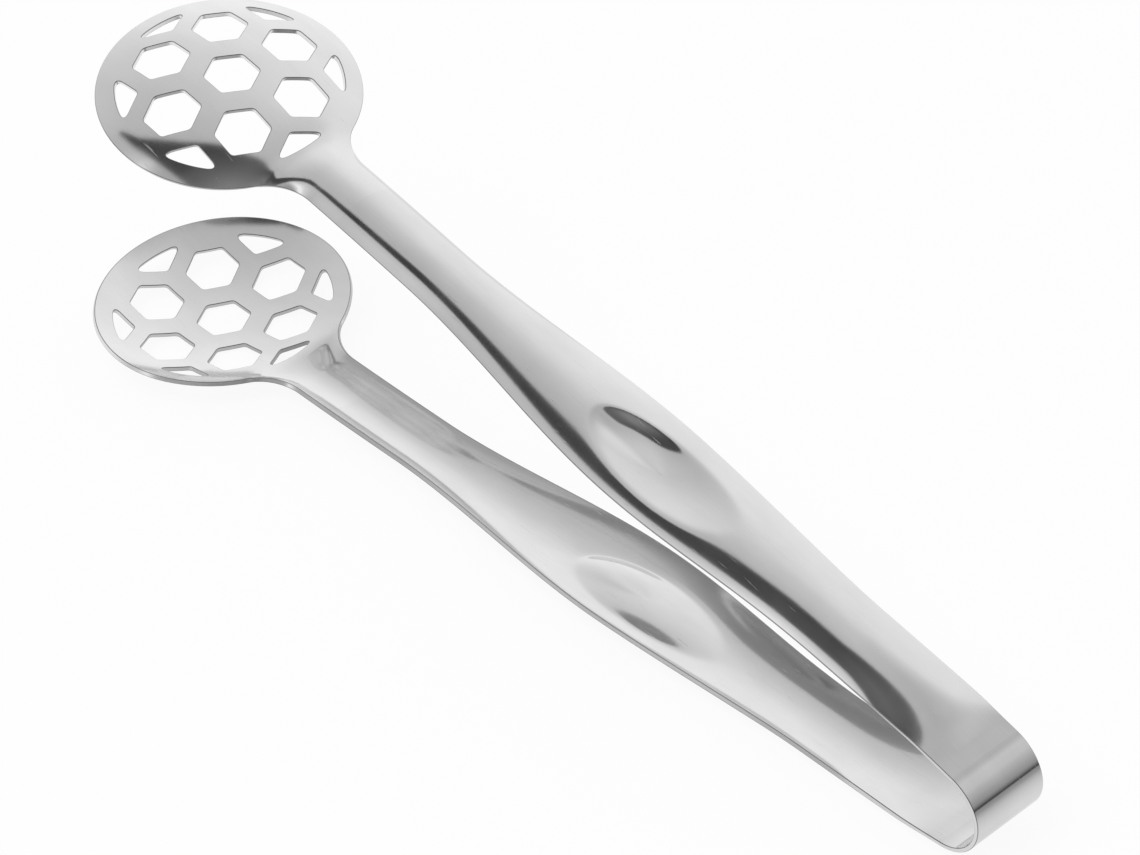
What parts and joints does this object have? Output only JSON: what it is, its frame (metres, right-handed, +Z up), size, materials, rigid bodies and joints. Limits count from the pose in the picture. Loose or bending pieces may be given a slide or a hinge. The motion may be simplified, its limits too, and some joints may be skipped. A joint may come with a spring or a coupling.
{
  "type": "barbecue tongs",
  "caption": "Sprung stainless steel tongs: a round bow, two channelled arms with thumb rests, and dished bowls pierced with hexagonal holes that face each other.",
  "frame": {"origin": "centre of the bounding box on the table, with the tongs laid on the outside of the lower arm and the lower bowl", "axes": "+X along the tongs from the bow towards the bowls, +Z up from the table, Y across the strip"},
  "size_m": [0.2282, 0.0524, 0.0657],
  "materials": {
    "bow_steel": "polished stainless sheet",
    "arm_steel": "satin-polished stainless sheet",
    "bowl_steel": "satin-polished stainless sheet"
  },
  "bodies": {
    "lower_jaw": {"lower_arm": "arm_steel", "lower_bowl": "bowl_steel"},
    "bow": {"spring_bow": "bow_steel"},
    "upper_jaw": {"upper_arm": "arm_steel", "upper_bowl": "bowl_steel"}
  },
  "joints": [
    {"name": "lower_bow_flex", "type": "hinge", "parent": "lower_jaw", "child": "bow", "pos_m": [-0.10559, 0, 0.00288], "axis": [0, 1, 0], "range_deg": [0, 7.3], "stiffness_Nm_per_rad": 9.4},
    {"name": "upper_bow_flex", "type": "hinge", "parent": "bow", "child": "upper_jaw", "pos_m": [-0.10741, 0, 0.01972], "axis": [0, 1, 0], "range_deg": [0, 7.3], "stiffness_Nm_per_rad": 9.4}
  ],
  "couplings": [
    {"joint": "upper_bow_flex", "follows": "lower_bow_flex", "ratio": 1}
  ]
}
